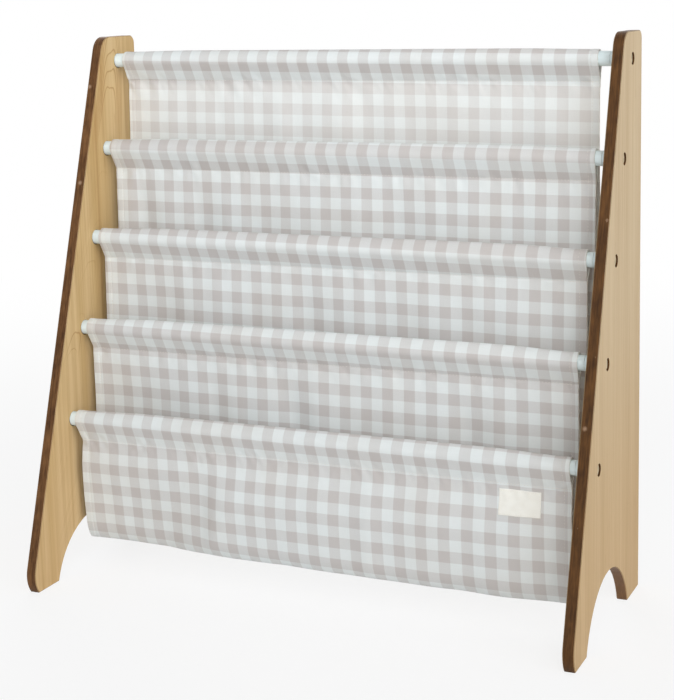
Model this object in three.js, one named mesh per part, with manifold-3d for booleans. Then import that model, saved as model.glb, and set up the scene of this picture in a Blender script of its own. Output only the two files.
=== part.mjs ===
// Sling bookshelf for a child's room: two side panels, five rods and a cloth that hangs in four pockets.
// Millimetres. X runs along the rods, Y to the back and Z up; the origin is on the floor, below the middle.
import * as THREE from 'three';
import { mergeVertices } from 'three/addons/utils/BufferGeometryUtils.js';
import Module from 'manifold-3d';

const wasm = await Module();
wasm.setup();

// Overall size
const overallWidth = 628;
const overallDepth = 261;
const panelHeight = 610;

// Side panels
const panelThickness = 12;
const edgeBevel = 0.8;
const frontLeanShare = 0.7586;
const frontTopRadius = 20;
const backTopRadius = 9;
const toeRadius = 30;
const toeCentreHeight = 18.6;
const frontFootLength = 40;
const backFootLength = 49;
const archHeight = 60.5;
const topCornerSteps = 7;
const toeSteps = 8;
const archSteps = 22;

// Rods and their end caps
const pocketCount = 4;
const rodDiameter = 16;
const rodWall = 1.2;
const rodSetback = 38.9;
const topRodDrop = 28.2;
const collarLength = 10.4;
const spigotLength = 22;
const seatDepth = 2;
const fitClearance = 0.3;
const roundSides = 20;

// Bolts
const boltDiameter = 6;
const boltReach = 16;
const headDiameter = 12.6;
const headHeight = 4;
const headSink = 2;
const headRecessClearance = 0.5;
const hexSize = 5;
const hexDepth = 2.4;
const hexSides = 6;

// Cloth
const clothThickness = 1.2;
const clothGapLeft = 7.5;
const clothGapRight = 17;
const seamDrop = 25;
const seamSetback = 5;
const lowestSeamSetback = -1;
const seamHeight = 4;
const slingDrop = 149;
const floorClearance = 30.5;
const gatherHeight = 74;
const noseRadius = 6;
const foldDepth = 4;
const foldGrowth = 70;
const longFold = 173;
const shortFold = 97;
const foldFadeWidth = 430;
const foldRightShare = 0.2;
const shortFoldShare = 0.45;
const foldPhases = [0.4, 2.3, 4.1, 1.2, 5.2];
const sleeveSteps = 16;
const slingColumns = 24;
const wallRows = 3;
const gatherRows = 4;
const noseRows = 5;

// Label
const labelWidth = 44.5;
const labelHeight = 26;
const labelInset = 31;
const labelDrop = 30;
const labelThickness = 0.6;
const labelColumns = 4;
const labelRows = 3;

// One overrun serves every cut
const cutOverrun = 1;

const finish = {
  board: { color: 0xcdb088, roughness: 0.55, metalness: 0 },
  rod: { color: 0xe0eaea, roughness: 0.35, metalness: 0.1 },
  cap: { color: 0xe4ecec, roughness: 0.4, metalness: 0 },
  bolt: { color: 0x9c9388, roughness: 0.4, metalness: 0.8 },
  cloth: { color: 0xd0ccc9, roughness: 0.9, metalness: 0 },
  label: { color: 0xeeece0, roughness: 0.85, metalness: 0 },
};

const group = new THREE.Group();

function addPiece(name, geometry, look, place = new THREE.Vector3()) {
  const mesh = new THREE.Mesh(geometry, new THREE.MeshStandardMaterial(look));
  mesh.name = name;
  mesh.position.copy(place);
  group.add(mesh);
}

// Turns a geometry into a solid: only positions are kept, and shared vertices are merged.
function toSolid(geometry) {
  const bare = geometry.clone();
  bare.deleteAttribute('normal');
  bare.deleteAttribute('uv');
  const merged = mergeVertices(bare);
  const vertProperties = new Float32Array(merged.attributes.position.array);
  const triVerts = new Uint32Array(merged.index.array);
  return new wasm.Manifold(new wasm.Mesh({ numProp: 3, vertProperties, triVerts }));
}

function toGeometry(solid) {
  const mesh = solid.getMesh();
  const geometry = new THREE.BufferGeometry();
  geometry.setAttribute('position', new THREE.BufferAttribute(mesh.vertProperties, mesh.numProp));
  geometry.setIndex(new THREE.BufferAttribute(mesh.triVerts, 1));
  geometry.computeVertexNormals();
  return geometry;
}

// Points on an arc, both ends included.
function arcPoints(centre, radius, fromAngle, toAngle, steps) {
  return Array.from({ length: steps + 1 }, (_, i) => {
    const angle = THREE.MathUtils.lerp(fromAngle, toAngle, i / steps);
    return new THREE.Vector2(centre.x + radius * Math.cos(angle), centre.y + radius * Math.sin(angle));
  });
}

// Extrudes an outline drawn in (Y, Z) along X, centred on X = 0.
function extrudeAlongX(shape, length, bevel = 0) {
  const geometry = new THREE.ExtrudeGeometry(shape, {
    depth: length - 2 * bevel,
    bevelEnabled: bevel > 0,
    bevelThickness: bevel,
    bevelSize: bevel,
    bevelOffset: -bevel,
    bevelSegments: 1,
    curveSegments: 1,
  });
  geometry.translate(0, 0, bevel - length / 2);
  const turn = new THREE.Matrix4().makeBasis(
    new THREE.Vector3(0, 1, 0),
    new THREE.Vector3(0, 0, 1),
    new THREE.Vector3(1, 0, 0),
  );
  return geometry.applyMatrix4(turn);
}

// A cylinder along X from one depth to another, at the (Y, Z) of a rod.
function cutterAlongX(radius, fromX, toX, at) {
  const geometry = new THREE.CylinderGeometry(radius, radius, Math.abs(toX - fromX), roundSides);
  geometry.rotateZ(Math.PI / 2);
  geometry.translate((fromX + toX) / 2, at.x, at.y);
  return toSolid(geometry);
}

// The front edge: a straight line that leans back, tangent to the round toe.
const frontLean = overallDepth * frontLeanShare;
const leanAngle = Math.atan2(frontLean, panelHeight);
const frontNormal = new THREE.Vector2(-Math.cos(leanAngle), Math.sin(leanAngle));
const toeCentre = new THREE.Vector2(toeRadius - overallDepth / 2, toeCentreHeight);
const toeTangent = toeCentre.clone().addScaledVector(frontNormal, toeRadius);
const backY = overallDepth / 2;

function frontEdgeY(height) {
  return toeTangent.x + (height - toeTangent.y) * Math.tan(leanAngle);
}

// Rod centres in (Y, Z), on a line parallel to the front edge, the first at the top.
const topRodHeight = panelHeight - topRodDrop;
const lowestRodHeight = floorClearance + slingDrop;
const rodRise = (topRodHeight - lowestRodHeight) / pocketCount;
const rodCentres = Array.from({ length: pocketCount + 1 }, (_, k) => {
  const height = topRodHeight - k * rodRise;
  return new THREE.Vector2(frontEdgeY(height) + rodSetback / Math.cos(leanAngle), height);
});

function panelOutline() {
  const toeFloorAngle = Math.PI + Math.asin(toeCentreHeight / toeRadius);
  const toeArc = arcPoints(toeCentre, toeRadius, Math.PI - leanAngle, toeFloorAngle, toeSteps);
  const toeFloorY = toeArc[toeSteps].x;

  const archFront = toeFloorY + frontFootLength;
  const archBack = backY - backFootLength;
  const halfSpan = (archBack - archFront) / 2;
  const archRadius = (halfSpan ** 2 + archHeight ** 2) / (2 * archHeight);
  const archCentre = new THREE.Vector2((archFront + archBack) / 2, archHeight - archRadius);
  const archAngle = Math.atan2(archRadius - archHeight, halfSpan);
  const arch = arcPoints(archCentre, archRadius, Math.PI - archAngle, archAngle, archSteps);

  const backCentre = new THREE.Vector2(backY - backTopRadius, panelHeight - backTopRadius);
  const frontReach = frontTopRadius * Math.tan((Math.PI / 2 - leanAngle) / 2);
  const frontCentre = new THREE.Vector2(frontEdgeY(panelHeight) + frontReach, panelHeight - frontTopRadius);

  return new THREE.Shape([
    ...arch,
    new THREE.Vector2(backY, 0),
    ...arcPoints(backCentre, backTopRadius, 0, Math.PI / 2, topCornerSteps),
    ...arcPoints(frontCentre, frontTopRadius, Math.PI / 2, Math.PI - leanAngle, topCornerSteps),
    ...toeArc,
  ]);
}

const rodRadius = rodDiameter / 2;
const counterboreRadius = headDiameter / 2 + headRecessClearance;
const counterboreDepth = headSink + headHeight;

// A side panel. side is -1 on the left and 1 on the right, and its outer face looks that way.
function sidePanel(side) {
  let panel = toSolid(extrudeAlongX(panelOutline(), panelThickness, edgeBevel));
  const outer = side * panelThickness / 2;
  const inner = -outer;
  for (const centre of rodCentres) {
    const cuts = [
      [counterboreRadius, outer + side * cutOverrun, outer - side * counterboreDepth],
      [boltDiameter / 2 + fitClearance, outer + side * cutOverrun, inner - side * cutOverrun],
      [rodRadius + fitClearance, inner + side * seatDepth, inner - side * cutOverrun],
    ];
    for (const [radius, fromX, toX] of cuts) {
      panel = panel.subtract(cutterAlongX(radius, fromX, toX, centre));
    }
  }
  return toGeometry(panel);
}

// Turns a profile of (radius, distance) about X, with distance counted towards the middle of the shelf.
function turned(profile, side) {
  const geometry = new THREE.LatheGeometry(profile.map(([r, d]) => new THREE.Vector2(r, d)), roundSides);
  geometry.rotateZ(side * Math.PI / 2);
  return toSolid(geometry);
}

const innerFaceX = overallWidth / 2 - panelThickness;
const capEndX = innerFaceX + seatDepth - fitClearance;
const tubeEndX = innerFaceX - collarLength;

function rodTube() {
  const circle = (radius) => arcPoints(new THREE.Vector2(), radius, 0, 2 * Math.PI, roundSides).slice(1);
  const ring = new THREE.Shape(circle(rodRadius));
  ring.holes.push(new THREE.Path(circle(rodRadius - rodWall)));
  return toGeometry(toSolid(extrudeAlongX(ring, 2 * tubeEndX)));
}

// The end cap of a rod: a collar as wide as the tube, then a spigot inside it, bored for the bolt.
function rodCap(side) {
  const boreRadius = boltDiameter / 2 + fitClearance;
  const collarEnd = capEndX - tubeEndX - fitClearance;
  const spigotRadius = rodRadius - rodWall - fitClearance;
  const spigotEnd = collarEnd + spigotLength;
  return toGeometry(turned([
    [boreRadius, 0],
    [rodRadius, 0],
    [rodRadius, collarEnd],
    [spigotRadius, collarEnd],
    [spigotRadius, spigotEnd],
    [boreRadius, spigotEnd],
    [boreRadius, 0],
  ], side));
}

// A bolt: its flat round head fills the counterbore, and its shank ends inside the cap's bore.
function panelBolt(side) {
  const shankEnd = headHeight - fitClearance + (panelThickness - counterboreDepth) + boltReach;
  const body = turned([
    [0, 0],
    [headDiameter / 2, 0],
    [headDiameter / 2, headHeight - fitClearance],
    [boltDiameter / 2, headHeight - fitClearance],
    [boltDiameter / 2, shankEnd],
    [0, shankEnd],
  ], side);
  const hexRadius = hexSize / 2 / Math.cos(Math.PI / hexSides);
  const hex = new THREE.CylinderGeometry(hexRadius, hexRadius, 2 * hexDepth, hexSides);
  hex.rotateZ(Math.PI / 2);
  return toGeometry(body.subtract(toSolid(hex)));
}

const clothLeft = -innerFaceX + clothGapLeft;
const clothRight = innerFaceX - clothGapRight;
const clothMiddle = (clothLeft + clothRight) / 2;
const clothWidth = clothRight - clothLeft;

// The seam under a rod, from the rod's centre in (Y, Z). Each lies a little behind the centre, but the
// lowest, where only one wall of cloth hangs, a little in front.
function seamOffset(k) {
  return new THREE.Vector2(k < pocketCount ? seamSetback : lowestSeamSetback, -seamDrop);
}

function seamPoint(k) {
  return rodCentres[k].clone().add(seamOffset(k));
}

// A drop-shaped loop round a circle that closes in a flat tip of the given half width at the seam.
function dropOutline(radius, tip, halfTip) {
  const reach = Math.hypot(tip.x, tip.y);
  const downAngle = Math.atan2(tip.y, tip.x);
  const spread = Math.acos(radius / reach);
  const startAngle = downAngle + spread;
  const endAngle = downAngle + 2 * Math.PI - spread;
  const loop = arcPoints(new THREE.Vector2(), radius, startAngle, endAngle, sleeveSteps);
  const tipPoints = [-halfTip, halfTip].map((offset) => new THREE.Vector2(tip.x + offset, tip.y));
  return halfTip > 0 ? [...loop, ...tipPoints] : [...loop, tip];
}

// A sewn sleeve: the cloth laps rod k, and its two layers are stitched together above the seam point.
function clothSleeve(k) {
  const tip = seamOffset(k);
  const innerTip = tip.clone().multiplyScalar((seamDrop - seamHeight) / seamDrop);
  const innerRadius = rodRadius + fitClearance;
  const outline = new THREE.Shape(dropOutline(innerRadius + clothThickness, tip, clothThickness));
  outline.holes.push(new THREE.Path(dropOutline(innerRadius, innerTip, 0)));
  return toGeometry(toSolid(extrudeAlongX(outline, clothWidth)));
}

function smooth(share) {
  return THREE.MathUtils.smoothstep(share, 0, 1);
}

// The main folds: how far the cloth under rod k stands out to the back, at x and this far below the rod.
function foldAt(k, x, drop) {
  const growth = smooth((drop - seamDrop) / foldGrowth);
  const fade = THREE.MathUtils.lerp(1, foldRightShare, smooth((x - clothLeft) / foldFadeWidth));
  const long = Math.sin(2 * Math.PI * x / longFold + foldPhases[k % foldPhases.length]);
  const short = Math.sin(2 * Math.PI * x / shortFold + 2 * foldPhases[k % foldPhases.length]);
  return foldDepth / 2 * growth * fade * ((1 - shortFoldShare) * long + shortFoldShare * short);
}

// The middle line of pocket k without folds, from the seam of rod k (behind) to that of rod k + 1 (in
// front). Each station has its (Y, Z) and the share of the front rod's folds in it.
function slingStations(k) {
  const layerOffset = clothThickness / 2 + fitClearance;
  const back = seamPoint(k);
  const front = seamPoint(k + 1);
  const backWall = back.x - layerOffset;
  const frontWall = front.x + layerOffset;
  const noseY = (backWall + frontWall) / 2;
  const lowest = rodCentres[k + 1].y - slingDrop + clothThickness / 2;
  const noseHeight = lowest + noseRadius;
  const gatherTop = lowest + gatherHeight;
  const stations = [];
  const add = (y, z) => stations.push({ y, z });
  const backTop = back.y - fitClearance;
  const frontTop = front.y - fitClearance;
  for (let i = 0; i < wallRows; i += 1) {
    add(backWall, THREE.MathUtils.lerp(backTop, gatherTop, i / wallRows));
  }
  for (let i = 0; i < gatherRows; i += 1) {
    const share = i / gatherRows;
    const y = THREE.MathUtils.lerp(backWall, noseY + noseRadius, smooth(share));
    add(y, THREE.MathUtils.lerp(gatherTop, noseHeight, share));
  }
  for (let i = 0; i <= noseRows; i += 1) {
    const angle = -Math.PI * i / noseRows;
    add(noseY + noseRadius * Math.cos(angle), noseHeight + noseRadius * Math.sin(angle));
  }
  for (let i = gatherRows - 1; i >= 0; i -= 1) {
    const share = i / gatherRows;
    const y = THREE.MathUtils.lerp(frontWall, noseY - noseRadius, smooth(share));
    add(y, THREE.MathUtils.lerp(gatherTop, noseHeight, share));
  }
  for (let i = 1; i <= wallRows; i += 1) {
    add(frontWall, THREE.MathUtils.lerp(gatherTop, frontTop, i / wallRows));
  }
  const firstGather = wallRows;
  const lastGather = stations.length - 1 - wallRows;
  stations.forEach((station, i) => {
    station.frontShare = smooth((i - firstGather) / (lastGather - firstGather));
  });
  return stations;
}

function slingPoint(k, station, x) {
  const fromBack = foldAt(k, x, rodCentres[k].y - station.z);
  const fromFront = foldAt(k + 1, x, rodCentres[k + 1].y - station.z);
  const y = station.y + THREE.MathUtils.lerp(fromBack, fromFront, station.frontShare);
  return new THREE.Vector3(x, y, station.z);
}

// A closed sheet from a grid of middle points. Each row's points run along X, and the sheet's outer side
// lies to the left of the way in which the rows follow each other, seen from the right.
function sheetSolid(grid, thickness) {
  const rowCount = grid.length;
  const columnCount = grid[0].length;
  const positions = [];
  for (const half of [thickness / 2, -thickness / 2]) {
    grid.forEach((row, i) => row.forEach((point, j) => {
      const before = grid[Math.max(i - 1, 0)][j];
      const after = grid[Math.min(i + 1, rowCount - 1)][j];
      const out = new THREE.Vector3(0, before.z - after.z, after.y - before.y).normalize();
      positions.push(...point.clone().addScaledVector(out, half).toArray());
    }));
  }
  const at = (side, i, j) => (side * rowCount + i) * columnCount + j;
  const index = [];
  const addQuad = (a, b, c, d) => index.push(a, c, b, a, d, c);
  for (let i = 0; i + 1 < rowCount; i += 1) {
    for (let j = 0; j + 1 < columnCount; j += 1) {
      addQuad(at(0, i, j), at(0, i + 1, j), at(0, i + 1, j + 1), at(0, i, j + 1));
      addQuad(at(1, i, j), at(1, i, j + 1), at(1, i + 1, j + 1), at(1, i + 1, j));
    }
    addQuad(at(0, i + 1, 0), at(0, i, 0), at(1, i, 0), at(1, i + 1, 0));
    const last = columnCount - 1;
    addQuad(at(0, i, last), at(0, i + 1, last), at(1, i + 1, last), at(1, i, last));
  }
  for (let j = 0; j + 1 < columnCount; j += 1) {
    addQuad(at(0, 0, j), at(0, 0, j + 1), at(1, 0, j + 1), at(1, 0, j));
    const last = rowCount - 1;
    addQuad(at(0, last, j + 1), at(0, last, j), at(1, last, j), at(1, last, j + 1));
  }
  const geometry = new THREE.BufferGeometry();
  geometry.setAttribute('position', new THREE.Float32BufferAttribute(positions, 3));
  geometry.setIndex(index);
  return toGeometry(toSolid(geometry));
}

function clothSling(k) {
  const columnAt = (j) => THREE.MathUtils.lerp(clothLeft, clothRight, j / slingColumns);
  const columns = Array.from({ length: slingColumns + 1 }, (_, j) => columnAt(j));
  const grid = slingStations(k).map((station) => columns.map((x) => slingPoint(k, station, x)));
  return sheetSolid(grid, clothThickness);
}

// The label lies on the front of the lowest pocket, just under its seam and near the right edge.
function clothLabel() {
  const k = pocketCount - 1;
  const stations = slingStations(k);
  const wallY = stations[stations.length - 1].y - clothThickness / 2 - fitClearance - labelThickness / 2;
  const top = rodCentres[k + 1].y - labelDrop;
  const right = clothRight - labelInset;
  const grid = Array.from({ length: labelRows + 1 }, (_, i) => {
    const z = THREE.MathUtils.lerp(top - labelHeight, top, i / labelRows);
    return Array.from({ length: labelColumns + 1 }, (__, j) => {
      const x = THREE.MathUtils.lerp(right - labelWidth, right, j / labelColumns);
      return new THREE.Vector3(x, wallY + foldAt(k + 1, x, rodCentres[k + 1].y - z), z);
    });
  });
  return sheetSolid(grid, labelThickness);
}

for (const [sideName, side] of [['left', -1], ['right', 1]]) {
  const panelX = side * (overallWidth - panelThickness) / 2;
  addPiece(`side_panel_${sideName}`, sidePanel(side), finish.board, new THREE.Vector3(panelX, 0, 0));
  rodCentres.forEach((centre, k) => {
    const capPlace = new THREE.Vector3(side * capEndX, centre.x, centre.y);
    const boltPlace = new THREE.Vector3(side * (overallWidth / 2 - headSink), centre.x, centre.y);
    addPiece(`rod_cap_${sideName}_${k + 1}`, rodCap(side), finish.cap, capPlace);
    addPiece(`panel_bolt_${sideName}_${k + 1}`, panelBolt(side), finish.bolt, boltPlace);
  });
}

rodCentres.forEach((centre, k) => {
  const rodPlace = new THREE.Vector3(0, centre.x, centre.y);
  const sleevePlace = new THREE.Vector3(clothMiddle, centre.x, centre.y);
  addPiece(`rod_tube_${k + 1}`, rodTube(), finish.rod, rodPlace);
  addPiece(`cloth_sleeve_${k + 1}`, clothSleeve(k), finish.cloth, sleevePlace);
});

for (let k = 0; k < pocketCount; k += 1) {
  addPiece(`cloth_sling_${k + 1}`, clothSling(k), finish.cloth);
}

addPiece('cloth_label', clothLabel(), finish.label);

export default group;
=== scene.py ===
import math

import bpy
import numpy as np
from mathutils import Matrix, Vector


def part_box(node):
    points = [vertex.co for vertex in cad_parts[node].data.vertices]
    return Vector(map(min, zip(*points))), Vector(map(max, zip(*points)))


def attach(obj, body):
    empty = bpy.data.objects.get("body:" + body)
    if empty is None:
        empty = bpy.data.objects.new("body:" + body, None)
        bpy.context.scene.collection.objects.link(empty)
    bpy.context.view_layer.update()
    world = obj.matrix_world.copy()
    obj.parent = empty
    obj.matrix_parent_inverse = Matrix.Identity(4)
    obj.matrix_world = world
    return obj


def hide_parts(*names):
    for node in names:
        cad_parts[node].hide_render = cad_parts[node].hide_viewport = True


# Looks of the sling bookshelf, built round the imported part. Metres, X along the rods, Y to the back, Z up.
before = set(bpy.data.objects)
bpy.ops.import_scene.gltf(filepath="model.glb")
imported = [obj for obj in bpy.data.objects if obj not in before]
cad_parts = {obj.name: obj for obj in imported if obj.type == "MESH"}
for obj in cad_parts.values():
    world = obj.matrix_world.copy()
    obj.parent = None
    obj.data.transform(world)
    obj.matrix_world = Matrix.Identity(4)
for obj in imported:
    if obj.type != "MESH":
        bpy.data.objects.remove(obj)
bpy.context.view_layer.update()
mm = 0.001
print("frame loaded:", len(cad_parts), "nodes")


# Mesh helpers

def smoothStep(share):
    # 3 t^2 - 2 t^3 with t held between 0 and 1
    t = np.clip(share, 0, 1)
    return t * t * (3 - 2 * t)


def bump(distance, width):
    # bell curve e^-(distance / width)^2
    return np.exp(-(distance / width) ** 2)


def unit(vectors):
    # each row divided by its own length
    return vectors / np.linalg.norm(vectors, axis=1)[:, None]


def lengthsAlong(line):
    # running sum of the distances between neighbouring points of a line
    return np.concatenate([[0], np.cumsum(np.hypot(*np.diff(line, axis=0).T))])


def pointAt(s, lengths, line):
    # both coordinates of the point at length s along a line of points
    return [np.interp(s, lengths, line[:, i]) for i in (0, 1)]


def roundAngles(count):
    # even steps of 2 pi / count
    return np.arange(count) * 2 * math.pi / count


def gridQuads(rows, columns, wrap=False):
    # corner (i, j) is number i * columns + j; wrap joins the last column to the first
    steps = columns if wrap else columns - 1
    i, j = np.meshgrid(np.arange(rows - 1), np.arange(steps), indexing="ij")
    a = i * columns + j
    b = i * columns + (j + 1) % columns
    return np.stack([a, b, b + columns, a + columns], -1).reshape(-1, 4)


def signedVolume(points, triangles):
    # sum of a . (b x c) / 6 over the triangles
    a, b, c = points[triangles].transpose(1, 0, 2)
    return float(np.einsum("ij,ij->i", a, np.cross(b, c)).sum() / 6)


def addPiece(name, points, quads, material, triangles=None, uv=None, closed=True, smooth=True):
    # one object from whole arrays; a closed one is turned so that its faces point outwards
    points = np.ascontiguousarray(points, dtype=float).reshape(-1, 3)
    triangles = np.zeros((0, 3), int) if triangles is None else triangles
    if closed:
        halves = np.concatenate([quads[:, [0, 1, 2]], quads[:, [0, 2, 3]], triangles])
        if signedVolume(points - points.mean(0), halves) < 0:
            quads, triangles = quads[:, ::-1], triangles[:, ::-1]
    corners = np.concatenate([quads.ravel(), triangles.ravel()]).astype(np.int32)
    sizes = np.concatenate([np.full(len(quads), 4), np.full(len(triangles), 3)])
    starts = np.concatenate([[0], np.cumsum(sizes)[:-1]]).astype(np.int32)
    mesh = bpy.data.meshes.new(name)
    mesh.vertices.add(len(points))
    mesh.vertices.foreach_set("co", points.astype(np.float32).ravel())
    mesh.loops.add(len(corners))
    mesh.loops.foreach_set("vertex_index", corners)
    mesh.polygons.add(len(sizes))
    mesh.polygons.foreach_set("loop_start", starts)
    mesh.update(calc_edges=True)
    mesh.validate()
    mesh.polygons.foreach_set("use_smooth", np.full(len(mesh.polygons), smooth))
    if uv is not None:
        layer = mesh.uv_layers.new(name="cloth")
        layer.data.foreach_set("uv", uv.reshape(-1, 2)[corners].astype(np.float32).ravel())
    mesh.materials.append(material)
    piece = bpy.data.objects.new(name, mesh)
    bpy.context.scene.collection.objects.link(piece)
    return piece


def softened(profile, radius, steps=4):
    # each inner corner p becomes the curve (1-t)^2 a + 2 t (1-t) p + t^2 b, with a and b radius before and
    # after it; one more point just outside each of them keeps the flats flat
    p = np.array(profile, float)
    corner = p[1:-1]
    toBefore, toAfter = p[:-2] - corner, p[2:] - corner
    shorter = np.minimum(*[np.linalg.norm(v, axis=1) for v in (toBefore, toAfter)])
    reach = np.minimum(radius, shorter * 0.40)[:, None]
    a, b = corner + unit(toBefore) * reach, corner + unit(toAfter) * reach
    t = np.linspace(0, 1, steps + 1)[None, :, None]
    curve = (1 - t) ** 2 * a[:, None] + 2 * t * (1 - t) * corner[:, None] + t ** 2 * b[:, None]
    outside = [(corner + unit(v) * reach * 1.2)[:, None] for v in (toBefore, toAfter)]
    inner = np.concatenate([outside[0], curve, outside[1]], 1).reshape(-1, 2)
    return np.concatenate([p[:1], inner, p[-1:]])


def carriedRound(x, radius, centre, angles):
    # point = (x, centre + radius cos a, centre + radius sin a) for even angles a
    a = roundAngles(angles)
    y, z = centre[0] + radius * np.cos(a), centre[1] + radius * np.sin(a)
    return np.stack([x + 0 * y, y, z], -1)


def endFans(rows, columns):
    # triangles from a wrapped grid's first and last row to the two poles that follow its points
    j = np.arange(columns)
    after = (j + 1) % columns
    pole = np.full(columns, rows * columns)
    last = (rows - 1) * columns
    return np.concatenate([np.stack([after, j, pole], -1), np.stack([j + last, after + last, pole + 1], -1)])


def turnedSurface(profile, centre, hexRows=(), angles=72):
    # the profile carried round the centre, with a pole on the axis at each end; on a hex row the radius is
    # that of a hexagon with corners at r: r cos 30 / cos(a within its side)
    x, r = np.array(profile, float).T[:, :, None]
    radius = np.repeat(r, angles, 1)
    for row in hexRows:
        radius[row] *= math.cos(math.pi / 6) / np.cos(roundAngles(angles) % (math.pi / 3) - math.pi / 6)
    points = carriedRound(x, radius, centre, angles).reshape(-1, 3)
    poles = [[*x[end], *centre] for end in (0, -1)]
    return np.concatenate([points, poles]), gridQuads(len(x), angles, wrap=True), endFans(len(x), angles)


def addRing(name, profile, centre, material, angles=72):
    # a profile that ends where it starts, carried round the centre, makes a closed ring
    x, r = np.array(profile, float)[:-1].T[:, :, None]
    quads = gridQuads(len(x) + 1, angles, wrap=True) % (len(x) * angles)
    return addPiece(name, carriedRound(x, r, centre, angles), quads, material)


def finishPiece(piece, slot, *nodes):
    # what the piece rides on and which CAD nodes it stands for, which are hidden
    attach(piece, "root")
    if nodes:
        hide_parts(*nodes)


# Shader helpers

class Wire:
    # a shader value; + - * / on it add Math nodes
    def __init__(self, shader, socket):
        self.shader = shader
        self.socket = socket

    def math(self, operation, *others):
        return self.shader.add("ShaderNodeMath", {"operation": operation}, dict(enumerate((self, *others))))

    def __add__(self, other):
        return self.math("ADD", other)

    def __mul__(self, other):
        return self.math("MULTIPLY", other)

    def __sub__(self, other):
        return self.math("SUBTRACT", other)

    def __rsub__(self, other):
        return self.shader.add("ShaderNodeMath", {"operation": "SUBTRACT"}, {0: other, 1: self})

    def __truediv__(self, other):
        return self.math("DIVIDE", other)

    __radd__, __rmul__ = __add__, __mul__

    def smooth(self, low, high):
        # 0 below low and 1 above high, smooth between them
        sockets = {"Value": self, "From Min": low, "From Max": high}
        return self.shader.add("ShaderNodeMapRange", {"interpolation_type": "SMOOTHSTEP"}, sockets)

    def held(self):
        # held between 0 and 1
        return self.shader.add("ShaderNodeClamp", {}, {"Value": self})


class Shader:
    # one material or sky; add() makes any node from its type, its settings and its sockets' values or links
    def __init__(self, name, kind="materials"):
        self.material = getattr(bpy.data, kind).new(name)
        self.material.use_nodes = True
        self.tree = self.material.node_tree
        self.tree.nodes.clear()

    def add(self, kind, settings=None, sockets=None, out=0):
        node = self.tree.nodes.new(kind)
        for key, value in (settings or {}).items():
            setattr(node, key, value)
        for key, value in (sockets or {}).items():
            if isinstance(value, Wire):
                self.tree.links.new(value.socket, node.inputs[key])
            else:
                node.inputs[key].default_value = value
        return Wire(self, node.outputs[out]) if len(node.outputs) else None

    def place(self, location=(0, 0, 0), scale=(1, 1, 1), source="Object"):
        # object coordinates, or the cloth's own map, scaled and shifted
        if source == "Object":
            start = self.add("ShaderNodeTexCoord", out="Object")
        else:
            start = self.add("ShaderNodeUVMap", {"uv_map": source})
        return self.add("ShaderNodeMapping", {}, {"Vector": start, "Location": location, "Scale": scale})

    def split(self, vector):
        first = self.add("ShaderNodeSeparateXYZ", {}, {"Vector": vector})
        return [Wire(self, out) for out in first.socket.node.outputs]

    def noise(self, vector, scale, detail=2.0, roughness=0.5):
        sockets = {"Vector": vector, "Scale": scale, "Detail": detail, "Roughness": roughness}
        return self.add("ShaderNodeTexNoise", {}, sockets)

    def stretched(self, scale, location=(0, 0, 0), detail=2.0, roughness=0.5, source="Object"):
        # noise with this many cells to the metre along each axis
        return self.noise(self.place(location, scale, source), 1.0, detail, roughness)

    def mix(self, share, first, second, blend="MIX"):
        # first and second are nodes, or screen colours from 0 to 255
        first, second = (tone if isinstance(tone, Wire) else colour(*tone) for tone in (first, second))
        settings = {"data_type": "RGBA", "blend_type": blend}
        return self.add("ShaderNodeMix", settings, {0: share, 6: first, 7: second}, out=2)

    def finish(self, base, roughness, height, strength, distance, others=None):
        # a surface with this colour, this roughness and a bump; others are values that are the same all over
        relief = {"Height": height, "Strength": strength, "Distance": distance}
        normal = self.add("ShaderNodeBump", {}, relief)
        sockets = {"Base Color": base, "Roughness": roughness, "Normal": normal, **(others or {})}
        surface = self.add("ShaderNodeBsdfPrincipled", {}, sockets)
        self.add("ShaderNodeOutputMaterial", {}, {"Surface": surface})
        return self.material


def colour(red, green, blue):
    # a screen colour from 0 to 255 as the linear one that shaders use, by the sRGB curve
    screen = np.array([red, green, blue]) / 255
    linear = np.where(screen <= 0.04045, screen / 12.92, ((screen + 0.055) / 1.055) ** 2.4)
    return (*[float(c) for c in linear], 1.0)


rodCentres = []
for k in range(1, 6):
    low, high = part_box("rod_tube_%d" % k)
    rodCentres.append(((low.y + high.y) / 2, (low.z + high.z) / 2))


# Maple faced boards with a brown edge

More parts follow.
